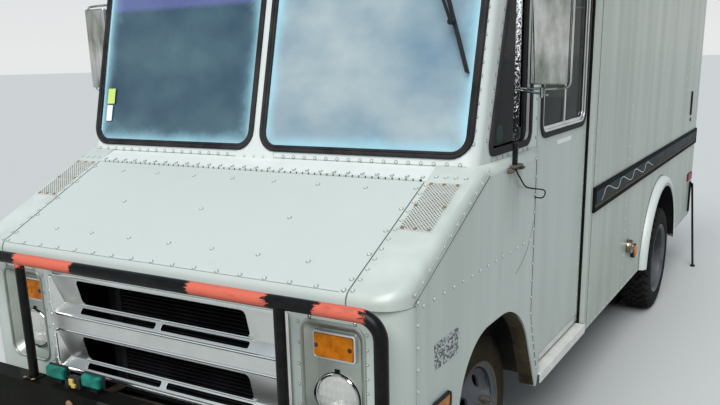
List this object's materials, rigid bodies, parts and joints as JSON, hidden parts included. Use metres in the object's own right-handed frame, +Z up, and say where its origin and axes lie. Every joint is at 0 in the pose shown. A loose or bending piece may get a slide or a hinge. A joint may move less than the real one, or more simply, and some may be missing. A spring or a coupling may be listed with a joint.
{
  "type": "food truck",
  "caption": "Walk-in step van used as a food truck, with sloping hood, split windshield, push bar, sliding cab doors, dual rear wheels and a side serving hatch.",
  "frame": {"origin": "on the ground under the middle of the whole vehicle", "axes": "-Y to the front, +X to the driver's side, +Z up"},
  "size_m": [2.59, 6.45, 2.9],
  "materials": {
    "body_paint": "pale grey-green paint, streaked and dull",
    "roof_paint": "pale weathered paint",
    "chassis_black": "black paint with dirt",
    "bumper_black": "worn black paint with a green film",
    "bar_paint": "black tube with salmon pink painted lengths",
    "cab_trim": "dark grey trim",
    "window_glass": "clear glass",
    "lamp_glass": "clear pressed lens",
    "lamp_amber": "amber lens",
    "seat_vinyl": "black vinyl",
    "engine_iron": "plain block",
    "exhaust_steel": "rusty steel",
    "floor_metal": "grey sheet, bare aluminium at the sills",
    "grille_aluminium": "stamped bright aluminium, dulled",
    "counter_steel": "brushed stainless steel",
    "wire_rubber": "black insulated wire",
    "mirror_steel": "polished stainless steel",
    "radiator_black": "black core",
    "vent_aluminium": "spun aluminium",
    "rail_rubber": "dark glossy strip",
    "wheel_plastic": "black rim",
    "tyre_rubber": "black rubber on a steel rim"
  },
  "bodies": {
    "root": {"chassis_frame": "chassis_black", "dashboard": "cab_trim", "driver_seat": "seat_vinyl", "engine": "engine_iron", "engine_cover": "cab_trim", "exhaust": "exhaust_steel", "fixed_glass": "window_glass", "floor": "floor_metal", "front_axle": "chassis_black", "front_bumper": "bumper_black", "front_frame": "body_paint", "fuel_tank": "chassis_black", "grille": "grille_aluminium", "headlamps": "lamp_glass", "kitchen_counter": "counter_steel", "leaf_springs": "chassis_black", "mirror_wire": "wire_rubber", "mirrors": "mirror_steel", "nose_front": "body_paint", "nose_left": "body_paint", "nose_right": "body_paint", "push_bar": "bar_paint", "radiator": "radiator_black", "rear_axle": "chassis_black", "rear_bumper": "bumper_black", "rear_frame": "body_paint", "roof": "roof_paint", "roof_vent": "vent_aluminium", "rub_rails": "rail_rubber", "side_left": "body_paint", "side_right": "body_paint", "signal_lamps": "lamp_amber", "stabiliser_legs": "bumper_black"},
    "hood": {"hood": "body_paint"},
    "cab_door_left": {"cab_door_left": "body_paint", "door_glass_left": "window_glass"},
    "cab_door_right": {"cab_door_right": "body_paint", "door_glass_right": "window_glass"},
    "rear_door_left": {"rear_door_left": "body_paint"},
    "rear_door_right": {"rear_door_right": "body_paint"},
    "serving_hatch": {"serving_hatch": "body_paint"},
    "knuckle_left": {"knuckle_left": "chassis_black"},
    "knuckle_right": {"knuckle_right": "chassis_black"},
    "wheel_front_left": {"wheel_front_left": "tyre_rubber"},
    "wheel_front_right": {"wheel_front_right": "tyre_rubber"},
    "wheel_rear_left": {"wheel_rear_left": "tyre_rubber"},
    "wheel_rear_right": {"wheel_rear_right": "tyre_rubber"},
    "steering_wheel": {"steering_wheel": "wheel_plastic"}
  },
  "joints": [
    {"name": "hood_hinge", "type": "hinge", "parent": "root", "child": "hood", "pos_m": [0, -2.505, 1.572], "axis": [-1, 0, 0], "range_deg": [0, 65]},
    {"name": "cab_door_left_slide", "type": "slide", "parent": "root", "child": "cab_door_left", "axis": [0, 1, 0], "range_m": [0, 0.88]},
    {"name": "cab_door_right_slide", "type": "slide", "parent": "root", "child": "cab_door_right", "axis": [0, 1, 0], "range_m": [0, 0.88]},
    {"name": "rear_door_left_hinge", "type": "hinge", "parent": "root", "child": "rear_door_left", "pos_m": [0.703, 3.037, 1.6], "axis": [0, 0, -1], "range_deg": [0, 170]},
    {"name": "rear_door_right_hinge", "type": "hinge", "parent": "root", "child": "rear_door_right", "pos_m": [-0.703, 3.037, 1.6], "axis": [0, 0, 1], "range_deg": [0, 170]},
    {"name": "serving_hatch_hinge", "type": "hinge", "parent": "root", "child": "serving_hatch", "pos_m": [-1.083, 1.05, 2.187], "axis": [0, 1, 0], "range_deg": [0, 90]},
    {"name": "steer_left", "type": "hinge", "parent": "root", "child": "knuckle_left", "pos_m": [0.695, -2.065, 0.405], "axis": [0, 0, 1], "range_deg": [-32, 32]},
    {"name": "steer_right", "type": "hinge", "parent": "root", "child": "knuckle_right", "pos_m": [-0.695, -2.065, 0.405], "axis": [0, 0, 1], "range_deg": [-32, 32]},
    {"name": "steering_wheel_turn", "type": "hinge", "parent": "root", "child": "steering_wheel", "pos_m": [0.5, -1.955, 1.42], "axis": [0, 0.6428, 0.766], "range_deg": [-520, 520]},
    {"name": "wheel_front_left_spin", "type": "hinge", "parent": "knuckle_left", "child": "wheel_front_left", "pos_m": [0.815, -2.065, 0.405], "axis": [1, 0, 0], "continuous": true},
    {"name": "wheel_front_right_spin", "type": "hinge", "parent": "knuckle_right", "child": "wheel_front_right", "pos_m": [-0.815, -2.065, 0.405], "axis": [1, 0, 0], "continuous": true},
    {"name": "wheel_rear_left_spin", "type": "hinge", "parent": "root", "child": "wheel_rear_left", "pos_m": [0.873, 1.315, 0.405], "axis": [1, 0, 0], "continuous": true},
    {"name": "wheel_rear_right_spin", "type": "hinge", "parent": "root", "child": "wheel_rear_right", "pos_m": [-0.873, 1.315, 0.405], "axis": [1, 0, 0], "continuous": true}
  ],
  "couplings": [
    {"joint": "steer_right", "follows": "steer_left", "ratio": 1},
    {"joint": "steering_wheel_turn", "follows": "steer_left", "ratio": 16}
  ]
}
